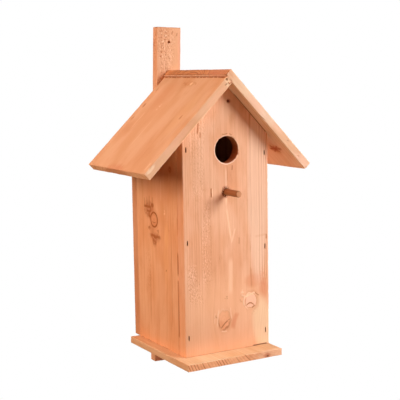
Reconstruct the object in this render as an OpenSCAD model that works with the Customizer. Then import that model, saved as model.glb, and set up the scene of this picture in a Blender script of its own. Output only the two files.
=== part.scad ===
// Hanging nest box: four walls, a base, a two-panel lapped roof, a perch and a wall batten.
//
// Frame: +Z up, the wall is the plane y = 0 and the box stands out from it towards -Y.
// The origin is the centre of the hanging hole, on the batten's back face.
// The house frame used inside the modules has x = 0 on the centre of the front board,
// y = 0 on the front board's face (y grows towards the wall) and z = 0 on the base's top.

/* [Body] */
// Width of the front and rear boards
body_w = 118; // [100:1:160]
// Depth from the front board's face to the rear board's back
body_d = 134; // [110:1:180]
// Thickness of the front board
front_t = 14.5; // [10:0.5:20]
// Thickness of the rear board
rear_t = 13.5; // [12:0.5:20]
// Thickness of the two side boards
side_t = 12; // [11:0.5:16]

/* [Roof] */
// Height of the gables' peak above the base
ridge_h = 321.5; // [310:0.5:340]
// Distance of the peak from the middle of the front board, to the right
ridge_x = -1.5; // [-5:0.5:5]
// Angle by which the right-angled roof leans to the right
roof_turn = 1; // [-3:0.5:3]
// Thickness of the two roof panels
roof_t = 10; // [8:0.5:12]
// Length of the left panel down its slope, from the peak
left_len = 152; // [120:1:180]
// Length of the right panel down its slope, from the peak
right_len = 148; // [120:1:180]
// How far the right panel runs up past the peak, over the left panel's end
ridge_lap = 12.5; // [12:0.5:20]
// Overhang of the roof past the front board
roof_front = 19; // [5:1:40]

/* [Base] */
// Thickness of the base plate
base_t = 8.5; // [8:0.5:12]
// Overhang of the base plate on the left
base_left = 12; // [0:1:20]
// Overhang of the base plate on the right
base_right = 1; // [0:1:20]
// Overhang of the base plate at the front
base_front = 27; // [5:1:40]
// How far the base plate stops short of the rear board's back
base_short = 10; // [0:1:12]

/* [Batten] */
// Width of the wall batten
batten_w = 34; // [28:1:50]
// Thickness of the wall batten
batten_t = 12; // [10:0.5:16]
// Length of the wall batten
batten_len = 434.5; // [420:0.5:460]
// Batten above the hanging hole
batten_top = 18.5; // [12:0.5:24]
// Diameter of the hanging hole
hang_d = 3.5; // [3:0.1:5]
// Lean of the batten in the plane of the wall
batten_lean = 1.8; // [-3:0.1:3]
// Height of the hanging hole above the base's top
hang_h = 372.75; // [365:0.25:380]
// Distance of the body's middle from the hanging hole, to the right
body_shift = 1.2; // [-4:0.1:4]

/* [Entrance and perch] */
// Diameter of the entrance hole
entrance_d = 32; // [26:0.5:46]
// Distance of the entrance from the middle of the front board, to the right
entrance_x = 1; // [-6:0.5:6]
// Height of the entrance's centre above the base
entrance_h = 243; // [230:1:250]
// Diameter of the perch
perch_d = 8; // [6:0.5:12]
// Length of the perch in front of the front board
perch_out = 28; // [15:1:50]
// Height of the perch above the base
perch_h = 193; // [170:1:200]
// Chamfer on the perch's outer end
perch_chamfer = 0.6; // [0.2:0.1:1]

/* [Fasteners] */
// Width of a staple's crown
staple_crown = 6; // [5:0.5:8]
// Thickness of the staple wire
staple_wire = 1.2; // [1:0.1:1.4]
// Length of a staple's legs
staple_leg = 25; // [20:1:28]
// How deep the staples and nails are driven below the wood's face
sink = 0.8; // [0.4:0.1:1]
// Length of the batten's screws
screw_len = 22; // [18:1:23]

/* [Hidden] */

$fn = 48;
entrance_sides = 96;
eps = 0.1;

roof_d = body_d + roof_front;
half_right_angle = 45;
slope_l = half_right_angle - roof_turn;
slope_r = half_right_angle + roof_turn;
half_w = body_w / 2;
// Distance of the staples in the corner joints from the boards' outer faces
staple_inset = 5;
staple_x = half_w - staple_inset;

// Heights of the staples above the base, and places [down the slope, depth] on the roof
left_heights = [23, 136.5, 245.5];
right_heights = [18, 122.5, 237];
rear_heights = [25, 130, 240];
left_rear_row = body_d - 10.5;
right_rear_row = body_d - 8;
left_roof_spots = [[66, front_t / 2], [23, left_rear_row], [72, left_rear_row]];
right_roof_spots = [[24, front_t / 2], [68, front_t / 2],
                    [24, right_rear_row], [68, right_rear_row]];
ridge_depths = [12, 64, 112];
base_side_depths = [36, 88];
base_front_x = 28;

// Gable nail: place on the front board, head and shank
nail_x = 4;
nail_h = 300;
nail_head_d = 3.2;
nail_head_h = 1;
nail_shank_d = 1.8;
nail_len = 13;

// Batten screws: heights below the hanging hole, head and shank
screw_drops = [110, 220, 335];
screw_head_d = 7.5;
screw_head_h = 2.6;
screw_d = 3.8;
screw_tip = 4;
screw_point_d = 0.6;
recess_w = 1.1;
recess_len = 4;
recess_deep = 1.6;

pine_pale = [0.96, 0.72, 0.53];
pine_warm = [0.90, 0.60, 0.39];
steel_dull = [0.45, 0.43, 0.42];

// Height of the roof's underside above the base at a distance x from the middle
function under_roof(x) =
    x < ridge_x ? ridge_h - (ridge_x - x) * tan(slope_l)
                : ridge_h - (x - ridge_x) * tan(slope_r);

// ---- frames ----

module house() {
    translate([body_shift, -batten_t - body_d, -hang_h]) children();
}

// x runs down the right slope from the peak, z stands out of it, on the panel's underside
module right_slope() {
    translate([ridge_x, 0, ridge_h]) rotate([0, slope_r, 0]) children();
}

module left_slope() {
    translate([ridge_x, 0, ridge_h]) mirror([1, 0, 0]) rotate([0, slope_l, 0]) children();
}

// children's -z runs into the front board, their x is upright
module into_front(x, z) {
    translate([x, 0, z]) rotate([90, 0, 0]) rotate([0, 0, 90]) children();
}

module into_rear(x, z) {
    translate([x, body_d, z]) rotate([-90, 0, 0]) rotate([0, 0, 90]) children();
}

module into_base(x, y, turn) {
    translate([x, y, -base_t]) rotate([180, 0, turn]) children();
}

module batten_frame() {
    rotate([0, batten_lean, 0]) children();
}

// ---- fasteners ----

// A staple driven into the face z = 0; as a cutter it also clears the slot above its crown
module staple(cutter = false) {
    crown_h = cutter ? sink + staple_wire + eps : staple_wire;
    translate([-staple_crown / 2, -staple_wire / 2, -sink - staple_wire])
        cube([staple_crown, staple_wire, crown_h]);
    for (side = [-1, 1])
        translate([side * (staple_crown - staple_wire) / 2 - staple_wire / 2, -staple_wire / 2,
                   -sink - staple_leg])
            cube([staple_wire, staple_wire, staple_leg]);
}

module nail(cutter = false) {
    head_h = cutter ? sink + nail_head_h + eps : nail_head_h;
    translate([0, 0, -sink - nail_head_h]) cylinder(h = head_h, d = nail_head_d);
    translate([0, 0, -sink - nail_len]) cylinder(h = nail_len, d = nail_shank_d);
}

module screw(cutter = false) {
    shank = screw_len - screw_head_h - screw_tip;
    translate([0, 0, -sink]) {
        if (cutter) cylinder(h = sink + eps, d = screw_head_d);
        translate([0, 0, -screw_head_h]) cylinder(h = screw_head_h, d1 = screw_d, d2 = screw_head_d);
        translate([0, 0, -screw_head_h - shank]) cylinder(h = shank, d = screw_d);
        translate([0, 0, -screw_len]) cylinder(h = screw_tip, d1 = screw_point_d, d2 = screw_d);
    }
}

module front_staples(x, heights, cutter = false) {
    for (h = heights) into_front(x, h) staple(cutter);
}

module rear_staples(x, cutter = false) {
    for (h = rear_heights) into_rear(x, h) staple(cutter);
}

module left_roof_set(cutter = false) {
    for (p = left_roof_spots) left_slope() translate([p[0], p[1], roof_t]) staple(cutter);
}

module right_roof_set(cutter = false) {
    for (p = right_roof_spots) right_slope() translate([p[0], p[1], roof_t]) staple(cutter);
}

module ridge_set(cutter = false) {
    for (d = ridge_depths)
        right_slope() translate([-roof_t / 2, d, roof_t]) rotate([0, 0, 90]) staple(cutter);
}

module base_side_set(side, cutter = false) {
    for (d = base_side_depths) into_base(side * staple_x, d, 90) staple(cutter);
}

module base_front_set(cutter = false) {
    for (side = [-1, 1]) into_base(side * base_front_x, front_t / 2, 0) staple(cutter);
}

module gable_nail_shape(cutter = false) {
    into_front(nail_x, nail_h) nail(cutter);
}

// The screws enter the batten's back face and run towards the front
module batten_screw_set(cutter = false) {
    for (drop = screw_drops)
        batten_frame() translate([0, 0, -drop]) rotate([-90, 0, 0]) screw(cutter);
}

// ---- boards ----

// Pentagon that fills the gable, t thick, with its outer face at y
module gable(y, t) {
    translate([0, y + t, 0]) rotate([90, 0, 0]) linear_extrude(t)
        polygon([[-half_w, 0], [half_w, 0], [half_w, under_roof(half_w)],
                 [ridge_x, ridge_h], [-half_w, under_roof(-half_w)]]);
}

module front_board() {
    color(pine_pale) house() difference() {
        gable(0, front_t);
        translate([entrance_x, -eps, entrance_h]) rotate([-90, 0, 0])
            cylinder(h = front_t + 2 * eps, d = entrance_d, $fn = entrance_sides);
        translate([0, -eps, perch_h]) rotate([-90, 0, 0])
            cylinder(h = front_t + 2 * eps, d = perch_d);
        front_staples(-staple_x, left_heights, true);
        front_staples(staple_x, right_heights, true);
        left_roof_set();
        right_roof_set();
        base_front_set();
        gable_nail_shape(true);
    }
}

module rear_board() {
    color(pine_warm) difference() {
        house() difference() {
            gable(body_d - rear_t, rear_t);
            rear_staples(-staple_x, true);
            rear_staples(staple_x, true);
            left_roof_set();
            right_roof_set();
        }
        batten_screw_set();
    }
}

// Side board between the front and rear boards; its top follows the roof
module side_board(side) {
    outer = side * half_w;
    inner = side * (half_w - side_t);
    translate([0, body_d - rear_t, 0]) rotate([90, 0, 0]) linear_extrude(body_d - front_t - rear_t)
        polygon([[outer, 0], [inner, 0], [inner, under_roof(inner)], [outer, under_roof(outer)]]);
}

module left_side_board() {
    color(pine_warm) house() difference() {
        side_board(-1);
        front_staples(-staple_x, left_heights);
        rear_staples(-staple_x);
        base_side_set(-1);
    }
}

module right_side_board() {
    color(pine_warm) house() difference() {
        side_board(1);
        front_staples(staple_x, right_heights);
        rear_staples(staple_x);
        base_side_set(1);
    }
}

module base_plate() {
    color(pine_warm) house() difference() {
        translate([-half_w - base_left, -base_front, -base_t])
            cube([body_w + base_left + base_right, base_front + body_d - base_short, base_t]);
        base_side_set(-1, true);
        base_side_set(1, true);
        base_front_set(true);
    }
}

module left_roof_panel() {
    color(pine_warm) house() difference() {
        left_slope() translate([0, -roof_front, 0]) cube([left_len, roof_d, roof_t]);
        left_roof_set(true);
        ridge_set();
    }
}

module right_roof_panel() {
    color(pine_warm) house() difference() {
        right_slope() translate([-ridge_lap, -roof_front, 0])
            cube([right_len + ridge_lap, roof_d, roof_t]);
        right_roof_set(true);
        ridge_set(true);
    }
}

module wall_batten() {
    color(pine_warm) difference() {
        batten_frame() translate([-batten_w / 2, -batten_t, batten_top - batten_len])
            cube([batten_w, batten_t, batten_len]);
        translate([0, eps, 0]) rotate([90, 0, 0]) cylinder(h = batten_t + 2 * eps, d = hang_d);
        batten_screw_set(true);
    }
}

// Dowel through the front board, its outer end slightly chamfered
module perch_dowel() {
    color(pine_pale) house() translate([0, front_t, perch_h]) rotate([90, 0, 0])
        rotate_extrude()
            polygon([[0, 0], [perch_d / 2, 0], [perch_d / 2, front_t + perch_out - perch_chamfer],
                     [perch_d / 2 - perch_chamfer, front_t + perch_out], [0, front_t + perch_out]]);
}

// ---- fastener nodes ----

module front_left_staples() {
    color(steel_dull) house() front_staples(-staple_x, left_heights);
}

module front_right_staples() {
    color(steel_dull) house() front_staples(staple_x, right_heights);
}

module gable_nail() {
    color(steel_dull) house() gable_nail_shape();
}

module rear_left_staples() {
    color(steel_dull) house() rear_staples(-staple_x);
}

module rear_right_staples() {
    color(steel_dull) house() rear_staples(staple_x);
}

module left_roof_staples() {
    color(steel_dull) house() left_roof_set();
}

module right_roof_staples() {
    color(steel_dull) house() right_roof_set();
}

module ridge_staples() {
    color(steel_dull) house() ridge_set();
}

module base_side_staples() {
    color(steel_dull) house() {
        base_side_set(-1);
        base_side_set(1);
    }
}

module base_front_staples() {
    color(steel_dull) house() base_front_set();
}

// Countersunk screws with a cross recess in the head
module batten_screws() {
    color(steel_dull) difference() {
        batten_screw_set();
        for (drop = screw_drops, turn = [45, 135])
            batten_frame() translate([0, 0, -drop]) rotate([-90, 0, 0]) rotate([0, 0, turn])
                translate([-recess_len / 2, -recess_w / 2, -sink - recess_deep])
                    cube([recess_len, recess_w, recess_deep + eps]);
    }
}

front_board();
rear_board();
left_side_board();
right_side_board();
base_plate();
left_roof_panel();
right_roof_panel();
wall_batten();
perch_dowel();
front_left_staples();
front_right_staples();
gable_nail();
rear_left_staples();
rear_right_staples();
left_roof_staples();
right_roof_staples();
ridge_staples();
base_side_staples();
base_front_staples();
batten_screws();
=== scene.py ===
import bpy
import bmesh
import math
from mathutils import Matrix, Vector, noise
from types import SimpleNamespace


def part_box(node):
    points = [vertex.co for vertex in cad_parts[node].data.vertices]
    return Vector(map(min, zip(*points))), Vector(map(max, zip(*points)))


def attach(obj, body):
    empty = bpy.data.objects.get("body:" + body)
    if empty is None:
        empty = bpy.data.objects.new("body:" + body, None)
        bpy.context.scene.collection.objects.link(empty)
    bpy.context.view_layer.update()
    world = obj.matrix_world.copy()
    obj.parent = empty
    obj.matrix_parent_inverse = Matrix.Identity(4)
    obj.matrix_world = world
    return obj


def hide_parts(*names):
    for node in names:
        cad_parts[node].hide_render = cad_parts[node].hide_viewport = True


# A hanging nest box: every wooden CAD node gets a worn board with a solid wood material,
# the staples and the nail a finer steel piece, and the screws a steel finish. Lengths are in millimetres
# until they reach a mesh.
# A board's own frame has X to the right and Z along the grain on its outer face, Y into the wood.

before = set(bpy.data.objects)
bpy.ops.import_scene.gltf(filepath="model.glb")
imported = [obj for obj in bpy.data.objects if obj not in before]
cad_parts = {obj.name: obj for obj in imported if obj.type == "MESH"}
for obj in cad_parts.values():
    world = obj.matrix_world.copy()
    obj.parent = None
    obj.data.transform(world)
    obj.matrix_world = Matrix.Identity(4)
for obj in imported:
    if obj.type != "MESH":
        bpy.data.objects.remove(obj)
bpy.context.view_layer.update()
scene = bpy.context.scene
MM = 0.001

# ---- sizes and places, from the frame ----

front_lo, front_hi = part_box("front_board")
rear_lo, rear_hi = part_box("rear_board")
left_lo, left_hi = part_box("left_side_board")
base_lo, base_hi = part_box("base_plate")
roof_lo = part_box("right_roof_panel")[0]
batten_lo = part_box("wall_batten")[0]
perch_lo, perch_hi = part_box("perch_dowel")

house_x = (front_lo.x + front_hi.x) / 2
house = Vector((house_x, front_lo.y, front_lo.z))
BODY_W = (front_hi.x - front_lo.x) / MM
BODY_D = (rear_hi.y - front_lo.y) / MM
HALF_W = BODY_W / 2
FRONT_T = (front_hi.y - front_lo.y) / MM
REAR_T = (rear_hi.y - rear_lo.y) / MM
SIDE_T = (left_hi.x - left_lo.x) / MM
PEAK_H = (front_hi.z - front_lo.z) / MM
BASE_T = (base_hi.z - base_lo.z) / MM
BASE_LEFT = (base_lo.x - house_x) / MM
BASE_RIGHT = (base_hi.x - house_x) / MM
BASE_FRONT = (base_lo.y - house.y) / MM
BASE_BACK = (base_hi.y - house.y) / MM
ROOF_FRONT = (roof_lo.y - house.y) / MM
PERCH_R = (perch_hi.x - perch_lo.x) / MM / 2
PERCH_X = (perch_hi.x + perch_lo.x) / MM / 2 - house_x / MM
PERCH_Z = (perch_hi.z + perch_lo.z) / MM / 2 - house.z / MM
PERCH_OUT = (house.y - perch_lo.y) / MM

PEAK_X = -1.5
LEFT_SLOPE = math.radians(44)
RIGHT_SLOPE = math.radians(46)
ROOF_T = 10
LEFT_LEN = 152
RIGHT_LEN = 148
RIDGE_LAP = 12.5
BATTEN_W = 34
BATTEN_T = 12
BATTEN_LEN = 434.5
BATTEN_TOP = 18.5
BATTEN_LEAN = math.radians(1.8)
HANG_R = 1.75
ENTRANCE_X = 1
ENTRANCE_Z = 243
ENTRANCE_R = 16

CROWN = 6
WIRE = 1.2
LEG = 25
SINK = 0.8
STAPLE_X = HALF_W - 5
LEFT_HEIGHTS = (23, 136.5, 245.5)
RIGHT_HEIGHTS = (18, 122.5, 237)
REAR_HEIGHTS = (25, 130, 240)
LEFT_ROOF_SPOTS = ((66, FRONT_T / 2), (23, BODY_D - 10.5), (72, BODY_D - 10.5))
RIGHT_ROOF_SPOTS = ((24, FRONT_T / 2), (68, FRONT_T / 2), (24, BODY_D - 8), (68, BODY_D - 8))
RIDGE_DEPTHS = (12, 64, 112)
BASE_SIDE_DEPTHS = (36, 88)
BASE_FRONT_X = 28
NAIL_X = 4
NAIL_Z = 300
NAIL_HEAD_R = 1.6
NAIL_R = 0.9
NAIL_LEN = 13
SCREW_DROPS = (110, 220, 335)
SCREW_HEAD_R = 3.75
SCREW_R = 1.9
SCREW_HEAD_H = 2.6

# broken-out chips, in each roof panel's own frame: (centre, radii, seed)
LEFT_ROOF_CHIPS = (
    ((-ROOF_FRONT, 2.0, -2.6), (2.6, 1.9, 1.4), 1), ((-ROOF_FRONT, 7.0, -3.6), (1.8, 1.7, 0.8), 2),
    ((-ROOF_FRONT, 5.2, -7.6), (1.2, 0.6, 2.2), 3), ((-ROOF_FRONT, 8.6, -1.5), (1.6, 1.0, 1.2), 4),
    ((-ROOF_FRONT - 7, 0, -1.5), (3.5, 1.0, 1.4), 5), ((-28, 0, 0), (6, 0.9, 1.6), 6),
    ((-47, 0, 0), (4, 1.0, 2.2), 7), ((-63, 0, 0), (5, 0.8, 1.5), 8),
    ((-88, 0, 0), (9, 0.9, 1.7), 9), ((-112, 0, 0), (7, 0.8, 1.5), 10),
    ((-ROOF_FRONT, 0.6, -143), (1.4, 0.9, 4), 11), ((-75, ROOF_T, -LEFT_LEN), (12, 1.0, 1.2), 12),
    ((-30, 0, -LEFT_LEN), (8, 0.8, 1.0), 13), ((-ROOF_FRONT, ROOF_T, -62), (1.0, 0.9, 7), 14))
RIGHT_ROOF_CHIPS = (
    ((ROOF_FRONT, ROOF_T, 11), (2.2, 1.8, 1.6), 21), ((ROOF_FRONT, ROOF_T, 3), (1.2, 1.4, 1.8), 22),
    ((ROOF_FRONT, 0, -12), (1.0, 0.8, 3), 23), ((ROOF_FRONT, 0, -55), (1.1, 0.8, 5), 24),
    ((ROOF_FRONT, 0, -88), (0.9, 0.9, 3), 25), ((ROOF_FRONT, ROOF_T, -60), (1.0, 1.1, 8), 26),
    ((ROOF_FRONT, ROOF_T, -RIGHT_LEN), (2.2, 2.6, 2.4), 27),
    ((ROOF_FRONT, 4, -104), (0.9, 1.0, 1.4), 28), ((ROOF_FRONT, 6, -128), (0.8, 0.8, 2.4), 29),
    ((30, 0, RIDGE_LAP), (8, 0.8, 1.0), 30), ((80, 0, RIDGE_LAP), (10, 0.7, 1.1), 31),
    ((104, ROOF_T, RIDGE_LAP), (8, 1.0, 1.0), 32), ((52, ROOF_T, RIDGE_LAP), (6, 0.9, 0.9), 33))


def under_roof(x):
    if x < PEAK_X:
        return PEAK_H - (PEAK_X - x) * math.tan(LEFT_SLOPE)
    return PEAK_H - (x - PEAK_X) * math.tan(RIGHT_SLOPE)


GABLE = [(-HALF_W, 0), (HALF_W, 0), (HALF_W, under_roof(HALF_W)), (PEAK_X, PEAK_H),
         (-HALF_W, under_roof(-HALF_W))]


# ---- board frames ----

def axes(x, y, z, origin):
    """A frame whose axes are these row-frame directions, at a row-frame point in metres."""
    turn = Matrix((Vector(x), Vector(y), Vector(z))).transposed().to_4x4()
    return Matrix.Translation(origin) @ turn


def at(x, y, z):
    """A house-frame point in mm as a row-frame point in metres."""
    return house + Vector((x, y, z)) * MM


FRONT = axes((1, 0, 0), (0, 1, 0), (0, 0, 1), at(0, 0, 0))
REAR = axes((-1, 0, 0), (0, -1, 0), (0, 0, 1), at(0, BODY_D, 0))
LEFT = axes((0, -1, 0), (1, 0, 0), (0, 0, 1), at(-HALF_W, 0, 0))
RIGHT = axes((0, 1, 0), (-1, 0, 0), (0, 0, 1), at(HALF_W, 0, 0))
BASE = axes((1, 0, 0), (0, 0, -1), (0, 1, 0), at(0, 0, 0))
lsin, lcos = math.sin(LEFT_SLOPE), math.cos(LEFT_SLOPE)
rsin, rcos = math.sin(RIGHT_SLOPE), math.cos(RIGHT_SLOPE)
ROOF_L = axes((0, -1, 0), (lsin, 0, -lcos), (lcos, 0, lsin),
              at(PEAK_X - lsin * ROOF_T, 0, PEAK_H + lcos * ROOF_T))
ROOF_R = axes((0, 1, 0), (-rsin, 0, -rcos), (-rcos, 0, rsin),
              at(PEAK_X + rsin * ROOF_T, 0, PEAK_H + rcos * ROOF_T))
BATTEN = Matrix.Rotation(BATTEN_LEAN, 4, "Y") @ Matrix.Translation((0, -BATTEN_T * MM, 0))
PERCH = axes((1, 0, 0), (0, 0, 1), (0, -1, 0), at(PERCH_X, 0, PERCH_Z))


# ---- mesh helpers ----

def wob(s, seed, scale=1.0):
    """Smooth noise along a length, about -1 to 1."""
    return noise.noise(Vector((s * scale, seed * 7.31, 0.37)))


def circle(count, point):
    """Points round a circle: point(angle, k) for count even steps."""
    return [point(2 * math.pi * k / count, k) for k in range(count)]


def place_mesh(bm, name, place):
    """The mesh, drawn in mm, as an object in metres at the frame place."""
    bmesh.ops.recalc_face_normals(bm, faces=bm.faces)
    bm.transform(Matrix.Scale(MM, 4))
    mesh = bpy.data.meshes.new(name)
    bm.to_mesh(mesh)
    bm.free()
    obj = bpy.data.objects.new(name, mesh)
    obj.matrix_world = place
    scene.collection.objects.link(obj)
    return obj


def to_object(bm, name, place, node, material):
    obj = place_mesh(bm, name, place)
    obj.data.materials.append(material)
    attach(obj, "root")
    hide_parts(node)
    return obj


def smooth(obj, angle=40):
    """Smooth shading that keeps flat faces flat and real corners sharp."""
    obj.data.shade_smooth()
    obj.data.set_sharp_from_angle(angle=math.radians(angle))
    mod = obj.modifiers.new("weighted", "WEIGHTED_NORMAL")
    mod.keep_sharp = True
    mod.weight = 90
    return obj


def cut(obj, bm):
    """Takes the cutter mesh, in the board's own frame in mm, out of the board."""
    cutter = place_mesh(bm, "cutter", obj.matrix_world)
    mod = obj.modifiers.new("cut", "BOOLEAN")
    mod.operation = "DIFFERENCE"
    mod.solver = "MANIFOLD"
    mod.object = cutter
    bpy.context.view_layer.update()
    graph = bpy.context.evaluated_depsgraph_get()
    result = bpy.data.meshes.new_from_object(obj.evaluated_get(graph))
    obj.modifiers.remove(mod)
    old = obj.data
    obj.data = result
    result.name = old.name
    bpy.data.meshes.remove(old)
    mesh = cutter.data
    bpy.data.objects.remove(cutter)
    bpy.data.meshes.remove(mesh)


def skin(bm, rings):
    """Joins rings of equal length with quads and closes both ends."""
    made = [[bm.verts.new(p) for p in ring] for ring in rings]
    n = len(made[0])
    for low, high in zip(made, made[1:]):
        for i in range(n):
            j = (i + 1) % n
            bm.faces.new((low[i], low[j], high[j], high[i]))
    bm.faces.new(list(reversed(made[0])))
    bm.faces.new(made[-1])


def rounded_outline(corners):
    """Points round a convex outline with small corner arcs: (point, inward normal, room, length)."""
    radius = 0.7
    spacing = 2.6
    out = []
    run = 0.0
    n = len(corners)
    for i in range(n):
        here = Vector(corners[i])
        before = (here - Vector(corners[i - 1])).normalized()
        after_corner = Vector(corners[(i + 1) % n])
        after = (after_corner - here).normalized()
        n1 = Vector((-before.y, before.x))
        n2 = Vector((-after.y, after.x))
        half = before.angle(after) / 2
        trim = radius * math.tan(half)
        centre = here - before * trim + n1 * radius
        for k in range(4):
            t = k / 3
            normal = (n1 * (1 - t) + n2 * t).normalized()
            out.append((centre - normal * radius, normal, radius, run))
        length = (after_corner - here).length - trim
        count = max(2, int(length / spacing))
        start = here + after * trim
        span = length - radius
        for k in range(1, count):
            d = span * k / count
            room = radius + 0.7 * min(d, span - d)
            out.append((start + after * d, n2, room, run + d))
        run += (after_corner - here).length
    return out


def board_mesh(corners, thick, seed, edge=0.7, rough=0.1, chips=0.5):
    """A board as a closed skin: flat faces, worn round edges, slightly wavy sawn sides.
    edge is the edges' usual radius, rough the sides' waviness, and lower chips mean more chips."""
    points = rounded_outline(corners)
    least = 0.25
    radii = []
    back_radii = []
    for p, normal, room, run in points:
        wear = edge * (1 + 0.45 * wob(run, seed, 0.045) + 0.3 * wob(run, seed + 1, 0.33))
        chip = max(0.0, wob(run, seed + 2, 0.21) - chips) * 2.5
        radii.append(max(least, min(wear + chip, room, thick * 0.4)))
        wear = edge * (1 + 0.45 * wob(run, seed + 5, 0.05) + 0.3 * wob(run, seed + 6, 0.29))
        back_radii.append(max(least, min(wear, room, thick * 0.4)))
    turns = [math.radians(a) for a in (0, 24, 47, 69, 90)]

    def edge_ring(turn, sizes, wave, depth):
        """The outline at one turn of the rounded edge; depth maps a depth below the face."""
        ring = []
        for (p, normal, room, run), r in zip(points, sizes):
            wavy = rough * 0.5 * (1 + wob(run, wave, 0.12)) * math.sin(turn)
            side = p + normal * (r * (1 - math.sin(turn)) + wavy)
            ring.append((side.x, depth(r * (1 - math.cos(turn))), side.y))
        return ring

    rings = [edge_ring(a, radii, seed + 3, lambda d: d) for a in turns]
    for k in (0.35, 0.65):
        ring = []
        for p, normal, room, run in points:
            side = p + normal * rough * 0.5 * (1 + wob(run + 40 * k, seed + 4, 0.16))
            ring.append((side.x, thick * k, side.y))
        rings.append(ring)
    rings += [edge_ring(a, back_radii, seed + 7, lambda d: thick - d) for a in reversed(turns)]
    bm = bmesh.new()
    skin(bm, rings)
    return bm


def slot_cutter(bm, x, z, along_x, seed):
    """The crushed slot that a staple's crown leaves, at (x, z) on a board's outer face."""
    half_l = CROWN / 2 + 0.2
    half_w = WIRE / 2 + 0.05
    flat = 0.5
    rings = []
    for depth, grow in ((-1.0, 0.3), (0.0, 0.15), (0.4, 0.02), (SINK + WIRE, -0.03)):
        def point(a, k):
            c, s = math.cos(a), math.sin(a)
            u = math.copysign(abs(c) ** flat, c) * (half_l + grow)
            v = math.copysign(abs(s) ** flat, s) * (half_w + grow)
            u += 0.12 * wob(k * 1.7 + depth, seed)
            v += 0.1 * wob(k * 1.3 - depth, seed + 3)
            du, dv = (u, v) if along_x else (v, u)
            return x + du, depth, z + dv
        rings.append(circle(20, point))
    skin(bm, rings)


def round_cutter(bm, x, z, profile, sides, seed, jag):
    """A round hole: profile is (depth, radius) from outside in, and jag its roughness."""
    rings = []
    for depth, radius in profile:
        def point(a, k):
            r = radius + jag * wob(k * 24 / sides * 1.9, seed)
            return x + r * math.cos(a), depth, z + r * math.sin(a)
        rings.append(circle(sides, point))
    skin(bm, rings)


def crack_cutter(bm, start, end, width, depth, seed):
    """A thin open crack between two (x, z) points on a board's outer face."""
    start, end = Vector(start), Vector(end)
    n = max(2, int((end - start).length / 1.2)) + 1
    path = [start.lerp(end, k / (n - 1)) for k in range(n)]
    left, right, floor = [], [], []
    for i, p in enumerate(path):
        ahead = path[min(i + 1, n - 1)] - path[max(i - 1, 0)]
        side = Vector((-ahead.y, ahead.x)).normalized()
        t = i / (n - 1)
        w = width * math.sin(math.pi * (0.06 + 0.88 * t)) * (0.75 + 0.4 * wob(i, seed, 0.7))
        p = p + side * 0.35 * wob(i, seed + 1, 0.45)
        left.append((p + side * w, -0.4))
        right.append((p - side * w, -0.4))
        floor.append((p, depth * math.sin(math.pi * (0.1 + 0.8 * t))))
    strip = [[bm.verts.new((q.x, d, q.y)) for q, d in line] for line in (left, floor, right)]
    for i in range(n - 1):
        for k in range(3):
            a, b = strip[k], strip[(k + 1) % 3]
            bm.faces.new((a[i], a[i + 1], b[i + 1], b[i]))
    bm.faces.new([strip[k][0] for k in range(3)])
    bm.faces.new([strip[k][-1] for k in (2, 1, 0)])


def cut_slots(obj, slots, far_face=0):
    """Cuts staple slots, each (x, z, along_x, seed); with far_face they are in the inner face."""
    cutter = bmesh.new()
    for slot in slots:
        slot_cutter(cutter, *slot)
    if far_face:
        for v in cutter.verts:
            v.co.y = far_face - v.co.y
    cut(obj, cutter)


def cut_chips(obj, chips):
    """Breaks small ragged chips out of a board, each (centre, radii, seed)."""
    cutter = bmesh.new()
    for centre, radii, seed in chips:
        for v in bmesh.ops.create_icosphere(cutter, subdivisions=2, radius=1.0)["verts"]:
            d = v.co.copy()
            ragged = 1 + 0.45 * noise.noise(d * 1.7 + Vector((seed * 3.3, seed, 0.5)))
            v.co = d * Vector(radii) * ragged + Vector(centre)
    cut(obj, cutter)


def spike(bm, start, run, width, height):
    """One wood splinter: a thin tapering sliver rooted at start and running along run."""
    start = Vector(start)
    run = Vector(run)
    side = run.cross(Vector((0, 1, 0))).normalized() * width
    up = Vector((0, -1, 0)) * height
    root = [start - side, start + side, start + side * 0.6 + up, start - side * 0.6 + up]
    middle = start + run * 0.6
    belly = [middle - side * 0.5, middle + side * 0.6, middle + side * 0.3 + up * 0.8,
             middle - side * 0.3 + up * 0.8]
    tip = bm.verts.new(start + run)
    a = [bm.verts.new(p) for p in root]
    b = [bm.verts.new(p) for p in belly]
    for i in range(4):
        j = (i + 1) % 4
        bm.faces.new((a[i], a[j], b[j], b[i]))
        bm.faces.new((b[i], b[j], tip))
    bm.faces.new(list(reversed(a)))


def splinters(name, place, node, slivers, material):
    """Loose slivers of a board's own wood, each rooted in it: (start, run, width, height) in mm."""
    bm = bmesh.new()
    for sliver in slivers:
        spike(bm, *sliver)
    return smooth(to_object(bm, name, place, node, material))


# ---- materials ----

class Value:
    """A number that nodes work out at each point, so that sums are written as plain arithmetic."""

    def __init__(self, nodes, socket):
        self.nodes = nodes
        self.socket = socket

    def __add__(self, other):
        return self.nodes.math("ADD", self, other)

    def __sub__(self, other):
        return self.nodes.math("SUBTRACT", self, other)

    def __mul__(self, other):
        return self.nodes.math("MULTIPLY", self, other)

    def __abs__(self):
        return self.nodes.math("ABSOLUTE", self)


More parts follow.
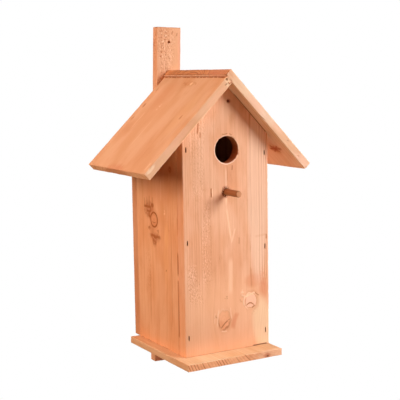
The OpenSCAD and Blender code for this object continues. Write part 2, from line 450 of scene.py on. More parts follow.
class Nodes:
    """A short way to write a material's node tree."""

    def __init__(self, name):
        self.material = bpy.data.materials.new(name)
        self.material.use_nodes = True
        self.tree = self.material.node_tree
        self.shader = self.tree.nodes["Principled BSDF"]

    def make(self, kind, inputs, output=0, **options):
        """Makes a node with these inputs and options: returns its output."""
        node = self.tree.nodes.new("ShaderNode" + kind)
        for key, option in options.items():
            setattr(node, key, option)
        for key, value in inputs.items():
            self.put(node.inputs[key], value)
        return Value(self, node.outputs[output])

    def put(self, socket, value):
        if isinstance(value, Value):
            self.tree.links.new(value.socket, socket)
        elif isinstance(value, tuple) and len(value) == 3 and len(socket.default_value) == 4:
            socket.default_value = (*value, 1)
        else:
            socket.default_value = value

    def math(self, op, *values):
        return self.make("Math", dict(enumerate(values)), operation=op)

    def vector(self, op, a, b):
        output = "Value" if op == "LENGTH" else 0
        return self.make("VectorMath", {0: a, 1: b}, output, operation=op)

    def split(self, vector):
        node = self.tree.nodes.new("ShaderNodeSeparateXYZ")
        self.put(node.inputs[0], vector)
        return [Value(self, node.outputs[k]) for k in range(3)]

    def join(self, x, y, z):
        return self.make("CombineXYZ", {0: x, 1: y, 2: z})

    def length(self, a, b):
        return self.math("SQRT", a * a + b * b)

    def where(self):
        """The point in the board's own frame, in mm."""
        return self.vector("MULTIPLY", self.make("TexCoord", {}, "Object"), (1 / MM,) * 3)

    def noise(self, where, grain, detail=2.0, roughness=0.5, output=0):
        """Noise from 0 to 1 with a feature size of grain (x, y, z) mm."""
        inputs = {"Vector": self.vector("MULTIPLY", where, tuple(1 / g for g in grain)),
                  "Scale": 1.0, "Detail": detail, "Roughness": roughness}
        return self.make("TexNoise", inputs, output)

    def wander(self, where, grain, detail, roughness=0.5):
        """Three separate noises, each about -0.5 to 0.5."""
        colour = self.noise(where, grain, detail, roughness, 1)
        return self.split(self.vector("ADD", colour, (-0.5,) * 3))

    def step(self, value, low, high, start=0.0, end=1.0):
        """Smooth step from start to end as value goes from low to high."""
        inputs = dict(enumerate((value, low, high, start, end)))
        return self.make("MapRange", inputs, interpolation_type="SMOOTHSTEP")

    def fall(self, value, low, high):
        return self.step(value, low, high, 1.0, 0.0)

    def inside(self, x, z, box, soft_x, soft_z):
        """1 inside the box (x0, x1, z0, z1) and 0 outside it, with soft sides."""
        x0, x1, z0, z1 = box
        dx = abs((x - (x0 + x1) / 2) * (2 / (x1 - x0)))
        dz = abs((z - (z0 + z1) / 2) * (2 / (z1 - z0)))
        return self.fall(dx, *soft_x) * self.fall(dz, *soft_z)

    def mix(self, amount, a, b, blend="MIX"):
        return self.make("Mix", {0: amount, 6: a, 7: b}, 2, data_type="RGBA", blend_type=blend)

    def tint(self, body, colour, where=None):
        """Multiplies the colour, everywhere or only where a value says."""
        tinted = self.mix(1.0, body, colour, "MULTIPLY")
        return tinted if where is None else self.mix(where, body, tinted)

    def shade(self, body, amount):
        """Darkens or lightens by a value about 0, most in blue, as wood does."""
        amount = self.vector("MULTIPLY", self.join(amount, amount, amount), (0.5, 0.95, 1.25))
        return self.tint(body, self.vector("ADD", amount, (1, 1, 1)))

    def finish(self, body, rough, height, bump, distance):
        """Wires colour, roughness and bump into the shader: returns the material."""
        self.put(self.shader.inputs["Base Color"], body)
        self.put(self.shader.inputs["Roughness"], rough)
        inputs = {"Strength": bump, "Distance": distance, "Height": height}
        self.put(self.shader.inputs["Normal"], self.make("Bump", inputs))
        return self.material


PALE = (0.79, 0.465, 0.285)
WARM = (0.74, 0.39, 0.215)
LATE = (0.60, 0.25, 0.11)
END_PALE = (0.66, 0.33, 0.165)
END_LATE = (0.40, 0.14, 0.05)
KNOT_PALE = (0.78, 0.43, 0.25)
KNOT_DARK = (0.50, 0.18, 0.07)
RIM = (0.36, 0.11, 0.035)
INK = (0.47, 0.165, 0.06)
# a near-black brown, mostly for painted shade in gaps, staple slots and chips
NEAR_BLACK = (0.10, 0.03, 0.012)
FRESH = (0.93, 0.64, 0.42)
NOWHERE = (0.0, 0.0)


def knot(x, z, rx, rz, **looks):
    """A knot at (x, z) with radii rx and rz; looks that aren't given are as usual."""
    usual = dict(bend=0.8, rag=0.3, ring_depth=0.22, rings=15.0, pale=KNOT_PALE, strength=0.85,
                 heart=0.0, halo=2.0, glow=0.35, red_side=NOWHERE, rim=0.6, wide=0.0, least=0.3,
                 dark_side=NOWHERE, glint=0.35, ink=RIM)
    return SimpleNamespace(x=x, z=z, rx=rx, rz=rz, **{**usual, **looks})


def knot_offset(g, x, z, knots):
    """Bends the grain round each knot: returns the x that the rings see."""
    seen = x
    for k in knots:
        dx = x - k.x
        dz = z - k.z
        ex = dx * (1 / (k.rx * 2.1))
        ez = dz * (1 / (k.rz * 2.4))
        near = g.math("EXPONENT", (ex * ex + ez * ez) * -1.0)
        seen = seen - dx * (near * k.bend)
    return seen


def paint_knot(g, colour, height, x, z, rag, k):
    """A knot: pale wood of its own, broken dark and bright arcs at its rim, redder wood round it."""
    dx = (x - k.x) * (1 / k.rx)
    dz = (z - k.z) * (1 / k.rz)
    rho = g.length(dx, dz) + rag * k.rag
    halo = g.fall(rho, 0.9, k.halo) * k.glow
    if k.red_side != NOWHERE:
        facing = dx * k.red_side[0] + dz * k.red_side[1]
        halo = halo * g.step(facing, -0.8, 1.0, 0.2, 1.3)
    rings = g.step(g.math("SINE", rho * k.rings), -0.3, 1.0, 0.0, k.ring_depth)
    body = g.mix(rings, k.pale, KNOT_DARK)
    body = g.mix(g.fall(rho, 0.08, 0.4) * k.heart, body, RIM)
    colour = g.mix(halo, colour, LATE)
    colour = g.mix(g.fall(rho, 0.88, 1.04) * k.strength, colour, body)
    broken = g.step(rag, -0.25, 0.2, k.least, 1.0)
    dark = g.step(rho, 0.82 - k.wide, 0.95 - k.wide) * g.fall(rho, 0.97, 1.12) * broken * k.rim
    bright = g.step(rho, 0.98, 1.08) * g.fall(rho, 1.14, 1.3) * k.glint
    if k.dark_side != NOWHERE:
        turned = dx * k.dark_side[0] + dz * k.dark_side[1]
        dark = dark * g.step(turned, -0.6, 0.7, 0.1, 1.0)
        bright = bright * g.step(turned, -0.5, 0.6, 1.0, 0.1)
    colour = g.mix(bright, colour, FRESH)
    colour = g.mix(dark, colour, k.ink)
    return colour, height + (dark * -0.6 + bright * 0.8)


def blotch(x0, z0, rx, rz, amount, colour=KNOT_DARK, low=0.44, core=0.1, lean=0.0, beyond=None,
           within=None, even=False):
    """A patch, torn and streaky unless even, and strongest in its middle; some even ones are painted shade.
    It can be kept beyond or within a depth in the wood. Returns the function that paints it."""
    def paint(g, body, x, y, z, streaks, wander):
        dx = (x - x0) * (1 / rx)
        dz = (z - z0) * (1 / rz)
        if lean:
            dx = dx + dz * lean
        mask = g.fall(dx * dx + dz * dz, core, 1.0)
        if not even:
            mask = mask * g.step(streaks, low, low + 0.12)
        mask = mask * amount
        if beyond is not None:
            mask = mask * g.step(y, beyond - 0.5, beyond + 0.5)
        if within is not None:
            mask = mask * g.fall(y, within, within + 0.6)
        return g.mix(mask, body, colour)
    return paint


# An even patch: a stain in the wood, and where a call says so, painted shade.
def stain_and_shade(*place, **options):
    return blotch(*place, even=True, **options)


def mark(x0, z0, x1, z1, w, amount, colour=INK, wander=1.0, soft=None, hold=0.6, bow=0.0, beyond=None):
    """A streak or crack line from (x0, z0) to (x1, z1), w wide; some are painted shadow lines. Returns the
    function that paints it.
    """
    length = math.hypot(x1 - x0, z1 - z0)
    ux, uz = (x1 - x0) / length, (z1 - z0) / length
    freedom = wander
    fade = w if soft is None else soft

    def paint(g, body, x, y, z, streaks, wander):
        dx = x - (x0 + x1) / 2
        dz = z - (z0 + z1) / 2
        along = dx * ux + dz * uz
        across = dx * -uz + dz * ux + wander * freedom
        if bow:
            across = across + along * along * bow
        band = g.fall(abs(across), w * 0.5, w * 0.5 + fade)
        mask = band * g.fall(abs(along), length * 0.5 * hold, length * 0.5) * amount
        if beyond is not None:
            mask = mask * g.step(y, beyond - 0.5, beyond + 0.5)
        return g.mix(mask, body, colour)
    return paint


def paint_entrance(g, body, x, y, z, near_x, near_y):
    """Fresh wood at the entrance's rim with painted light on its lower left, painted shade on its wall, and
    dark crushed wood round the perch's root with the perch's painted shadow.
    """
    ex = x - ENTRANCE_X
    ez = z - ENTRANCE_Z
    rho = g.length(ex, ez) + near_y * 1.6
    # pale rim: fresh torn wood, with painted light that is strongest on the lower left
    rim = g.fall(rho, ENTRANCE_R + 0.7, ENTRANCE_R + 1.7) * g.step(y, 1.9, 1.0)
    rim = rim * g.step(ex * -0.05 + ez * -0.05, -0.4, 0.4, 0.45, 1.0)
    body = g.mix(rim, body, (1.0, 0.76, 0.56))
    # painted shade: the bore's wall is darkened inside the hole
    wall = g.fall(rho, ENTRANCE_R + 0.6, ENTRANCE_R + 1.2) * g.step(y, 0.7, 1.6)
    body = g.mix(wall * 0.9, body, (0.40, 0.14, 0.055))
    # dark crushed wood round the perch's root, with the perch's painted shadow, strongest to its left
    tx = x - PERCH_X
    rho = g.length(tx, z - PERCH_Z) + near_x * 5.0
    bruise_and_shadow = g.fall(rho, PERCH_R + 0.8, PERCH_R + 4.2) * g.step(tx, 3.0, -2.0, 0.4, 1.0)
    return g.mix(bruise_and_shadow, body, (0.26, 0.05, 0.012))


def wood(name, seed, pith, lean=(0.0, 0.0), spacing=2.2, rings=0.2, pale=PALE, warm=WARM, late=LATE,
         tint=(1, 1, 1), fibre=1.0, fleck=0.35, knots=(), marks=(), blotches=(), zones=(), torn=(),
         spots=(), warp=0.4, end_tint=(1, 1, 1), edge_fresh=0.3, entrance=False, end_rings=0.75,
         side_tint=None, end_shadow=None, face_tint=None, right_shade_tint=None):
    """Solid pine: rings round a tilted pith, fibres along Z, knots, streaks and end grain."""
    g = Nodes(name)
    here = g.where()
    x, y, z = g.split(here)
    moved = g.vector("ADD", here, (seed * 131.7, seed * 57.3, seed * 411.9))
    slow_x, slow_y = g.wander(moved, (62, 62, 230), 1.5)[:2]
    mid_x, mid_y, mid_z = g.wander(moved, (15, 15, 75), 1.0)
    near_x, near_y = g.wander(moved, (5, 5, 11), 2.0, 0.6)[:2]

    # growth rings: pale early wood and dark late wood, each ring of its own strength
    rx = knot_offset(g, x, z, knots) + (slow_x * (22 * warp) + mid_x * (5 * warp))
    ry = y + (slow_y * (22 * warp) + mid_y * (5 * warp))
    px = rx + (z * -lean[0] - pith[0])
    py = ry + (z * -lean[1] - pith[1])
    count = g.length(px, py) * (1 / spacing)
    swell = g.noise(g.join(count, seed * 3.1, 0.0), (2.3, 1, 1))
    count = count + swell * 1.6
    t = g.math("FRACT", count)
    vary = g.noise(g.join(g.math("FLOOR", count), seed * 1.7, 0.0), (1.37, 1, 1), 0.0)
    vary = g.step(vary, 0.3, 0.7, 0.15, 1.0)
    late_band = g.step(t, 0.42, 0.82) * g.fall(t, 0.9, 1.0) * vary
    early_band = g.step(t, 0.0, 0.12) * g.fall(t, 0.15, 0.4) * vary

    # fibres: long fine streaks, and short flecks
    fibre_a = g.noise(moved, (1.4, 1.4, 70), 3.0, 0.6)
    fibre_b = g.noise(moved, (0.55, 0.55, 12), 2.0, 0.6)
    fibre_c = g.noise(moved, (4.5, 4.5, 120))
    speck = g.noise(moved, (0.8, 0.8, 5.5), 1.0)
    patch = g.noise(moved, (30, 30, 70), 2.0, 0.55)
    patch_b = g.noise(moved, (11, 11, 30), 2.0, 0.55)
    strength = rings
    for *box, amount in zones:
        strength = g.inside(x, z, box, (0.75, 1.15), (0.75, 1.1)) * amount + strength
    patchy = g.step(patch_b, 0.3, 0.7, 0.45, 1.25) * strength
    body = g.mix(g.step(patch, 0.36, 0.64), pale, warm)
    body = g.mix(early_band * (patchy * 0.8), body, FRESH)
    body = g.mix(late_band * patchy, body, late)
    body = g.mix(g.step(patch_b, 0.55, 0.75) * 0.2, body, late)
    flecks = g.step(speck, 0.58, 0.74) * g.step(patch_b, 0.38, 0.66) * fleck
    shade = (fibre_a - 0.5) * (0.34 * fibre) + (fibre_b - 0.5) * (0.22 * fibre)
    body = g.shade(body, shade + (fibre_c - 0.5) * (0.3 * fibre) + flecks * -0.35)
    height = fibre_a * 0.5 + (fibre_b * 0.35 + late_band * -0.25) + flecks * -0.8

    # rough places where the saw tore the fibres up
    for *box, amount in torn:
        crumbs = g.noise(moved, (1.5, 1.5, 2.6), 1.0)
        rough = g.inside(x + mid_y * 22, z, box, (0.5, 1.1), (0.7, 1.1))
        up = g.step(crumbs, 0.57, 0.66) * rough * amount
        down = g.step(crumbs, 0.41, 0.33) * rough * amount
        body = g.mix(up * 0.7, body, FRESH)
        body = g.mix(down * 0.75, body, KNOT_DARK)
        height = height + (up * 1.2 + down * -1.5)

    rag = near_x * 1.3 + mid_y * 0.5
    streaks = g.noise(moved, (4.0, 2.0, 4.0), 3.0, 0.65)
    wander = mid_z * 4.0 + near_y * 1.2
    for paint in blotches:
        body = paint(g, body, x, y, z, streaks, wander)
    for k in knots:
        body, height = paint_knot(g, body, height, x, z, rag, k)
    for paint in marks:
        body = paint(g, body, x, y, z, streaks, wander)

    # end grain: the same rings, darker, with fine pores
    normal_x, normal_y, normal_z = g.split(g.make("TexCoord", {}, "Normal"))
    end = g.step(abs(normal_z), 0.72, 0.93)
    pores = g.noise(moved, (0.5, 0.5, 1.2), 2.0, 0.6)
    cloud = g.noise(moved, (9, 5, 60), 3.0, 0.6)
    end_body = g.mix(late_band * end_rings, END_PALE, END_LATE)
    end_body = g.tint(g.shade(end_body, (pores - 0.5) * 0.45 + (cloud - 0.5) * 0.7), end_tint)
    if end_shadow:
        low, high, amount = end_shadow
        sunk = g.step(y + (near_y * 1.6 + mid_x * 2.0), low, high, 0.0, amount)
        end_body = g.mix(sunk, end_body, RIM)
    body = g.mix(end, body, end_body)
    for centre, radii, amount, colour in spots:
        off = g.vector("ADD", here, tuple(-c for c in centre))
        off = g.vector("MULTIPLY", off, tuple(1 / r for r in radii))
        away = g.vector("LENGTH", off, (0, 0, 0)) + near_x * 0.8
        body = g.mix(g.step(away, 0.45, 1.1, amount, 0.0), body, colour)
    height = height + pores * end * 0.5

    # handled and freshly broken edges
    slant = g.math("MAXIMUM", abs(normal_x), g.math("MAXIMUM", abs(normal_y), abs(normal_z)))
    edge = g.step(slant, 0.975, 0.86) * g.step(fibre_c, 0.35, 0.6, 0.35, 1.0)
    body = g.mix(edge * edge_fresh, body, FRESH)
    if entrance:
        body = paint_entrance(g, body, x, y, z, near_x, near_y)

    body = g.tint(body, tint)
    if face_tint:
        body = g.tint(body, face_tint, g.step(normal_y, -0.6, -0.9) * g.step(y, 1.2, 0.4))
    if side_tint:
        body = g.tint(body, side_tint, g.step(abs(normal_x), 0.55, 0.9))
    # painted shade: faces turned to the right are darkened against the right-hand lamps
    if right_shade_tint:
        body = g.tint(body, right_shade_tint, g.step(normal_x, 0.55, 0.9))
    g.shader.inputs["Specular IOR Level"].default_value = 0.12
    return g.finish(body, fibre_a * 0.16 + (late_band * -0.06 + 0.6), height, 0.5, 0.0005)


def steel(name, colour, rough, shine=0.1):
    """Dull fastener steel with a few rust freckles."""
    g = Nodes(name)
    here = g.where()
    cloud = g.noise(here, (1.6, 1.6, 1.6), 3.0, 0.6)
    scratch = g.noise(here, (0.2, 2.5, 0.2))
    body = g.mix(g.step(cloud, 0.55, 0.7, 0.0, 0.6), colour, (0.16, 0.07, 0.035))
    body = g.mix(g.step(scratch, 0.5, 0.75, 0.0, 0.2), body, (0.4, 0.36, 0.33))
    g.shader.inputs["Metallic"].default_value = shine
    g.shader.inputs["Specular IOR Level"].default_value = shine * 0.6
    return g.finish(body, cloud * 0.3 + rough, cloud + scratch, 0.3, 0.0001)


def front_wood():
    knots = [
        knot(32.5, 57, 8.4, 9, ring_depth=0.06, rim=0.45, glint=1.0, dark_side=(0.8, -0.7),
         pale=(0.9, 0.57, 0.38), halo=1.8, glow=0.5, red_side=(1.0, 0.35), least=0.0, bend=0.7,
         strength=1.0, rag=0.5, ink=INK),
        knot(-5.3, 38, 9.2, 12.5, ring_depth=0.12, rim=0.75, glint=0.2, strength=0.55,
         dark_side=(-0.25, -1.0), pale=(0.88, 0.47, 0.25), glow=0.4, halo=1.6, red_side=(1.0, -0.2),
         least=0.1, bend=0.7, wide=0.08, rag=0.5, ink=INK),
    ]
    red = (0.7, 0.27, 0.13)
    blotches = [
        stain_and_shade(0, 10, 90, 100, 0.55, (0.88, 0.51, 0.285), core=0.3),
        stain_and_shade(36, 82, 15, 11, 0.5, red),
        stain_and_shade(51, 70, 8, 17, 0.6, red),
        blotch(50, 84, 8, 16, 0.5, red, low=0.46),
        stain_and_shade(-8.5, 33, 5, 7, 0.7, (0.58, 0.2, 0.085), lean=0.4),
        blotch(-17, 41, 3, 6, 0.7, low=0.46),
        blotch(20, 62, 4, 8, 0.6, low=0.46),
        blotch(22, 68, 5, 6, 0.8, FRESH, low=0.46),
        blotch(38, 43, 6, 5, 0.7, low=0.5),
        blotch(-2, 65.5, 3.4, 2.6, 0.75, low=0.46),
        stain_and_shade(13, 100, 9, 60, 0.3, (0.72, 0.34, 0.18)),
        stain_and_shade(49, 26, 17, 44, 0.75, (0.88, 0.65, 0.4), core=0.25, lean=0.25),
        stain_and_shade(44, 190, 17, 130, 0.6, (0.84, 0.6, 0.43), core=0.4),
    ]
    marks = [
        mark(-11, 28.5, 0.5, 38.5, 0.8, 0.9, wander=0.3, bow=0.012),
        mark(0, 38, 3, 39, 0.5, 0.7, wander=0.2),
        mark(26, 55, 37.5, 54.5, 0.8, 0.95, bow=0.1, wander=0.1, hold=0.8),
        mark(34, 48, 39, 51.5, 0.9, 0.7, bow=-0.03, wander=0.2),
        mark(25, 64, 37, 66.5, 1.1, 0.85, (0.98, 0.66, 0.42), bow=0.06, wander=0.2, hold=0.8),
        mark(24, 50, 24.5, 62, 0.9, 0.6, LATE, wander=0.6),
        mark(38, 67, 45, 62, 0.6, 0.7, bow=-0.02, wander=0.2),
        mark(5, 25, 13, 47, 2.6, 0.6, red, soft=3.5, bow=0.012, wander=0.4),
        mark(-15, 30, -13, 54, 0.7, 0.55, FRESH, wander=1.2),
        mark(-18.5, 34, -18, 50, 0.6, 0.55, FRESH, wander=0.6),
        mark(5, 37, 3, 54, 0.8, 0.45, FRESH, wander=1.2),
        mark(-10, 25, -1, 23.5, 0.9, 0.7, FRESH, bow=-0.04, wander=0.6),
        mark(6, 132, -1, 178, 1.1, 0.7, FRESH, wander=0.2),
        mark(5.5, 130, 12, 150, 1.0, 0.6, FRESH, wander=0.2),
        mark(4, 66, 5, 116, 2.5, 0.55, FRESH, soft=3, wander=0.4),
        mark(-21, 187, -21, 200, 0.9, 1.0, wander=0.4),
        mark(-19.2, 188, -19.4, 199, 0.7, 0.8, FRESH, wander=0.4),
        mark(-0.5, 172, -0.5, 226, 1.0, 0.75, FRESH, wander=0.2),
        mark(1.4, 205, 1.0, 226, 0.7, 0.5, LATE, wander=0.2),
        mark(8, 218, 8.5, 225, 0.7, 0.75, wander=0.3),
        mark(-6, 261, 3, 261.5, 0.6, 0.75, bow=-0.05, wander=0.4),
        mark(4, 262, 9, 260, 0.6, 0.65, bow=-0.05, wander=0.4),
        mark(-38, 262, -37, 278, 0.9, 0.85, wander=1.2),
        mark(-35, 258, -35, 266, 0.8, 0.7, wander=0.8),
        mark(56, 131, 56, 138, 1.2, 0.6, wander=0.2),
        mark(34, 72, 33, 100, 1.2, 0.5, LATE, wander=0.5),
        mark(17, 128, 17, 138, 0.7, 0.5, wander=0.3),
        mark(38, 135.5, 57, 137.5, 1.2, 0.18, LATE, soft=1.5, wander=0.2),
        # painted shadow: a dark line along the bottom right, where the base meets the front board
        mark(34, 0.6, 57, 0.6, 1.0, 0.9, NEAR_BLACK, wander=0.1, hold=0.75),
    ]
    nail = ((NAIL_X, 0, NAIL_Z), (3.4, 3.4, 3.4), 0.8, (0.4, 0.09, 0.04))
    # painted shade: each staple slot is darkened inside
    slots = [((x, 1.4, h), (1.5, 2.0, 4.2), 0.9, NEAR_BLACK)
             for x, h, along_x, seed in mirrored_slots(LEFT_HEIGHTS, RIGHT_HEIGHTS)]
    zones = [(30, 60, 78, 340, 1.4), (-10, 24, 90, 260, 0.2), (-60, -20, 0, 330, 0.12)]
    torn = [(-53, -37, 60, 112, 0.8), (-34, -20, 78, 185, 0.55), (-50, -30, 180, 300, 0.3)]
    # the right tint darkens the board's right edge: painted shade against the right-hand lamps
    return wood("front_pine", 1, (5.5, 58), (0.0, -0.008), 2.25, 0.13, knots=knots, marks=marks,
                blotches=blotches, zones=zones, torn=torn, spots=[nail] + slots, fleck=0.3, warp=0.3,
                entrance=True, tint=(1.16, 1.065, 1.085), side_tint=(0.93, 0.94, 0.89),
                right_shade_tint=(0.88, 0.78, 0.7), late=(0.58, 0.24, 0.1))


def left_wood():
    brown = (0.4, 0.135, 0.05)
    knots = [
        knot(-74, 156, 9.6, 9.6, ring_depth=0.3, rim=0.95, rag=0.12, least=0.85,
             pale=(0.74, 0.38, 0.21), glow=0.5, halo=1.7, glint=0.1, wide=0.08, rings=12),
    ]
    blotches = [
        stain_and_shade(-87, 168, 16, 14, 0.45, brown),
        stain_and_shade(-72, 135, 18, 8, 0.35, brown),
        stain_and_shade(-74, 129, 7, 9, 0.3, brown),
        stain_and_shade(-80, 145, 9, 9, 0.35, brown),
        stain_and_shade(-78, 173.5, 5, 4, 0.9, brown),
        blotch(-88, 168, 15, 13, 0.8, brown, low=0.5),
        blotch(-86, 163, 5, 10, 0.7, brown, low=0.42, lean=0.4),
        blotch(-87, 144.5, 4, 3, 0.8, brown, low=0.4),
        blotch(-72, 135.5, 17, 4.5, 0.9, brown, low=0.42),
        blotch(-73.5, 131, 7, 9, 0.85, brown, low=0.42),
        blotch(-65, 143, 4, 6, 0.6, brown, low=0.42),
        blotch(-31, 221, 5, 5, 0.9, low=0.3),
        stain_and_shade(-70, 20, 7, 50, 0.3, LATE),
        stain_and_shade(-45, 110, 8, 40, 0.2, (0.84, 0.5, 0.24)),
        stain_and_shade(-42, 140, 7, 20, 0.25, (0.88, 0.55, 0.26)),
        blotch(-47, 168, 3, 4, 0.7, FRESH, low=0.4),
        # painted shade under the eave, over the top of the board
        stain_and_shade(-60, 204, 64, 36, 0.35, (0.72, 0.28, 0.14)),
    ]
    marks = [
        mark(-102, 170.5, -79, 171, 1.5, 0.9, brown, wander=0.15),
        mark(-94, 165.5, -82, 165, 1.4, 0.85, brown, wander=0.15),
        mark(-90, 161, -83, 158, 1.3, 0.8, brown, wander=0.15),
        mark(-88, 136.5, -56, 135.5, 1.5, 0.85, brown, wander=0.6, hold=0.5),
        mark(-79, 133, -72, 128, 1.2, 0.6, brown, wander=0.7),
        mark(-15.2, 142, -15.2, 168, 1.2, 0.5, LATE, soft=1.2, wander=0.15),
        mark(-15.2, 94, -15.2, 126, 1.3, 0.85, brown, soft=1.2, wander=0.15),
        mark(-15.2, 20, -15.2, 92, 1.2, 0.75, brown, soft=1.2, wander=0.15, hold=0.9),
        mark(-99, 168, -99, 182, 0.8, 0.55, brown, wander=0.2),
        mark(-92, 168, -92, 184, 0.8, 0.6, brown, wander=0.2),
        mark(-86, 168, -86, 186, 0.9, 0.6, brown, wander=0.2),
        mark(-78, 176, -78, 184, 0.8, 0.6, brown, wander=0.4),
        mark(-79, 152.5, -69, 152.5, 0.8, 0.7, brown, bow=-0.06, wander=0.2),
        mark(-88, 20, -86, 100, 0.8, 0.5, KNOT_DARK, wander=0.8),
        mark(-31, 20, -31, 180, 0.9, 0.45, KNOT_DARK, wander=0.5),
        mark(-103, 60, -104, 230, 1.2, 0.35, LATE, wander=1.0),
        mark(-79, 60, -79, 120, 0.8, 0.35, LATE, wander=1.0),
        mark(-46, 96, -44, 99, 0.8, 0.7, brown, wander=0.4),
        mark(-55, 180, -54, 210, 0.8, 0.4, FRESH, wander=0.4),
    ]
    return wood("left_pine", 2, (-60, -70), (0.01, 0.02), 2.0, 0.17, knots=knots, marks=marks,
                blotches=blotches, torn=[(-100, -84, 60, 120, 0.4)], tint=(1.12, 1.08, 1.0), fleck=0.45)


def chip_shade(chips, amount=0.85, colour=NEAR_BLACK):
    """Darkens the inside of each broken-out chip."""
    return [(centre, tuple(r * 1.05 for r in radii), amount, colour) for centre, radii, seed in chips]


def left_roof_wood():
    soft = (0.68, 0.3, 0.15)
    blotches = [
        stain_and_shade(-95, -30, 22, 34, 0.4, soft),
        blotch(-55, -12, 20, 8, 0.5, (0.6, 0.27, 0.11), low=0.47),
        stain_and_shade(-57, -11, 12, 5, 0.35, soft),
        stain_and_shade(-50, -12, 3.5, 3.0, 0.8, (0.98, 0.66, 0.42)),
        stain_and_shade(-115, -95, 12, 26, 0.35, soft),
        stain_and_shade(-30, -110, 14, 50, 0.2, soft),
        stain_and_shade(-8, -60, 16, 40, 0.25, (0.86, 0.52, 0.28)),
        blotch(-122, -50, 2.4, 5, 0.9, low=0.3),
        blotch(-80, -52, 3, 7, 0.6, FRESH, low=0.42),
    ]
    marks = [
        mark(-72, -9, -58, -15, 1.0, 0.5, LATE, soft=1.5, bow=0.03, wander=0.5),
        mark(-48, -8, -36, -13, 1.0, 0.45, LATE, soft=1.5, bow=0.03, wander=0.5),
        mark(-20, -140, -22, -60, 0.9, 0.25, LATE),
        mark(-70, -120, -69, -70, 0.8, 0.3, FRESH),
        mark(-105, -90, -104, -60, 0.8, 0.5, FRESH, wander=0.4),
        mark(12, -148, 12, -134, 1.6, 0.4, (0.97, 0.7, 0.48), wander=0.4),
        # painted shadow: a dark line under the step of the ridge strip
        mark(-133, -0.5, 18, -0.5, 1.8, 0.9, RIM, soft=1.4, wander=0.3, hold=0.96),
    ]
    red = (0.66, 0.24, 0.12)
    front = -ROOF_FRONT
    spots = [
        ((-60, 5, -LEFT_LEN), (36, 9, 12), 0.6, red),
        ((front, 2.5, -143), (3, 2.5, 8), 0.7, (0.98, 0.74, 0.54)),
        ((front, 2.5, -3.5), (3.5, 4.5, 3.2), 0.6, (0.98, 0.72, 0.47)),
        ((front, 7, -6.5), (3.5, 3.5, 2.4), 0.55, (0.98, 0.72, 0.47)),
        ((front, 6, -30), (3, 4, 22), 0.35, (0.92, 0.5, 0.33)),
        ((front, 4, -95), (3, 5, 30), 0.35, (0.92, 0.52, 0.36)),
    ]
    return wood("left_roof_pine", 3, (-40, 85), (0.0, 0.01), 3.2, 0.03, marks=marks, blotches=blotches,
                tint=(0.96, 1.0, 0.98), fleck=0.3, fibre=0.2, warp=0.6, side_tint=(1.09, 1.02, 1.03),
                end_tint=(1.5, 1.6, 1.9), end_rings=0.5, edge_fresh=0.1,
                spots=spots + chip_shade(LEFT_ROOF_CHIPS[:1]) + chip_shade(LEFT_ROOF_CHIPS[1:4], 0.7, RIM))


def right_roof_wood():
    star = (0.4, 0.1, 0.035)
    knots = [
        knot(11, -114, 5, 4, rim=0.0, heart=1.0, ring_depth=0.5, pale=(0.5, 0.16, 0.07),
         glow=0.6, strength=0.8, rag=0.8, halo=3.2, glint=0.0),
    ]
    blotches = [
        blotch(11, -114, 15, 8, 0.95, star, low=0.46, beyond=5),
        blotch(13, -100, 4, 30, 0.4, star, low=0.5, beyond=5),
    ]
    marks = [
        mark(-5, -113, 26, -115, 1.5, 0.85, star, wander=0.2, beyond=5),
        mark(1, -107, 20, -121, 1.3, 0.8, star, wander=0.3, beyond=5),
        mark(4, -121, 19, -107, 1.2, 0.75, star, wander=0.3, beyond=5),
        # painted shadow: a dark line on the underside where it meets the front board
        mark(-0.6, -86, -0.6, -16, 1.0, 0.85, RIM, wander=0.15, hold=0.85, beyond=8),
        mark(-8, -140, -8, -60, 0.9, 0.4, LATE, wander=0.5),
        mark(-13, -140, -13, -20, 0.9, 0.4, LATE, wander=0.5),
    ]
    pink = (0.86, 0.47, 0.32)
    spots = [
        ((6, 5, RIDGE_LAP), (24, 8, 6), 0.6, (0.62, 0.22, 0.11)),
        ((ROOF_FRONT, 5, -42), (3, 8, 20), 0.5, pink),
        ((ROOF_FRONT, 3, -80), (3, 5, 14), 0.4, pink),
        ((ROOF_FRONT, 6, -136), (3, 6, 14), 0.5, pink),
        # painted highlights: two pale spots on the front edge
        ((ROOF_FRONT, 5, -62), (3, 7, 16), 0.35, (0.86, 0.62, 0.44)),
        ((ROOF_FRONT, 5, -12), (3, 8, 22), 0.35, (0.86, 0.6, 0.38)),
    ]
    # the side tint brightens the front edge as painted light
    return wood("right_roof_pine", 4, (62, 24), (0.0, 0.012), 3.2, 0.16, knots=knots, marks=marks,
                blotches=blotches, fleck=0.4, tint=(1.0, 1.12, 1.25), side_tint=(1.12, 1.08, 1.06),
                face_tint=(0.84, 0.7, 0.58), edge_fresh=0.5, torn=[(-19, 134, -3, 10, 0.5)], end_rings=0.95,
                end_tint=(0.98, 0.8, 0.64), end_shadow=(7.4, 9.0, 0.85),
                spots=spots + chip_shade(RIGHT_ROOF_CHIPS[:2]))


def base_wood():
    spots = [((50, 4, BASE_FRONT), (34, 10, 6), 0.5, (0.98, 0.56, 0.38)),
             ((38, 6, BASE_FRONT), (6, 4, 5), 0.85, (0.62, 0.18, 0.09)),
             ((39, 6.3, BASE_FRONT), (1.8, 1.5, 2), 0.95, NEAR_BLACK),
             ((30, 4, BASE_FRONT), (24, 6, 6), 0.25, (0.60, 0.20, 0.10))]
    # the right tint darkens the plate's right end: painted shade against the right-hand lamps
    return wood("base_pine", 5, (66, -52), (0.01, 0.01), 3.3, 0.16, fleck=0.3, warp=0.25, spots=spots,
                tint=(0.98, 1.08, 1.06), right_shade_tint=(0.90, 0.80, 0.72), end_tint=(1.38, 1.18, 1.25),
                end_rings=1.0)


